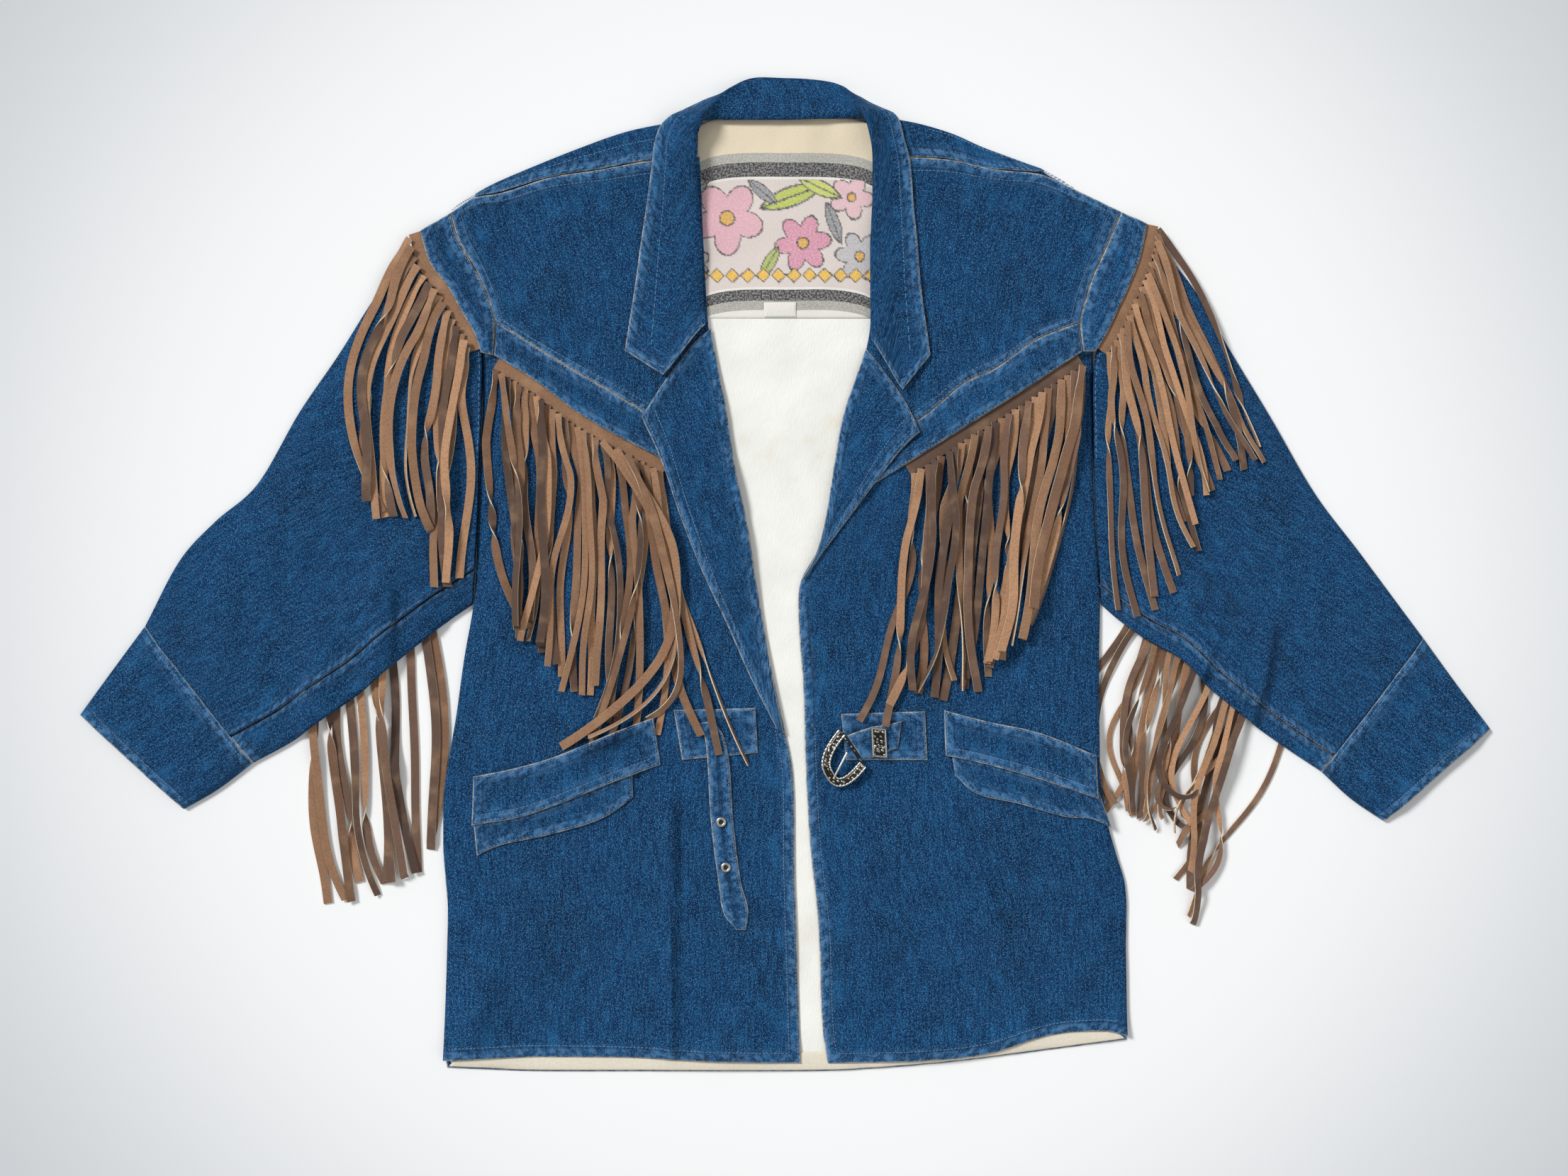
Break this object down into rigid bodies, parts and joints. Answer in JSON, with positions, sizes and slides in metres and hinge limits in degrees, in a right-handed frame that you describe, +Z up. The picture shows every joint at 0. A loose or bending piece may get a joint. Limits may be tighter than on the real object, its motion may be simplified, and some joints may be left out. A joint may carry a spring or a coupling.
{
  "type": "fringed denim jacket",
  "caption": "Denim jacket with suede fringe, notched collar and a two-part buckle belt, laid flat with its front up.",
  "frame": {"origin": "middle of the outline, on the surface that the jacket lies on", "axes": "+X towards the viewer's right, along the spread sleeves; +Y towards the collar; +Z up from the surface"},
  "size_m": [1.192, 0.8421, 0.0222],
  "materials": {
    "denim": "stonewashed cotton twill, worn pale along seams",
    "suede": "split suede, matt nap",
    "cotton": "plain woven cotton lining",
    "printed_cotton": "printed cotton",
    "label": "smooth satin tape, bare",
    "silver": "antiqued silver plate, engraved"
  },
  "bodies": {
    "root": {"back": "denim", "back_yoke": "denim", "collar": "denim", "belt_strap": "denim", "buckle_strap": "denim", "front_left": "denim", "front_right": "denim", "yoke_left": "denim", "yoke_right": "denim", "shoulder_band_left": "denim", "shoulder_band_right": "denim", "chest_band_left": "denim", "chest_band_right": "denim", "facing_left": "denim", "facing_right": "denim", "pocket_welt_left": "denim", "pocket_welt_right": "denim", "pocket_flap_left": "denim", "pocket_flap_right": "denim", "tab_patch_left": "denim", "tab_patch_right": "denim", "sleeve_top_left": "denim", "sleeve_top_right": "denim", "sleeve_under_left": "denim", "sleeve_under_right": "denim", "cuff_left": "denim", "cuff_right": "denim", "fringe_shoulder_left": "suede", "fringe_shoulder_right": "suede", "fringe_chest_left": "suede", "fringe_chest_right": "suede", "fringe_sleeve_left": "suede", "fringe_sleeve_right": "suede", "back_lining": "cotton", "neck_panel": "printed_cotton", "care_label": "label", "eyelet_1": "silver", "eyelet_2": "silver", "keeper": "silver", "buckle": "silver", "buckle_tongue": "silver"}
  },
  "joints": []
}
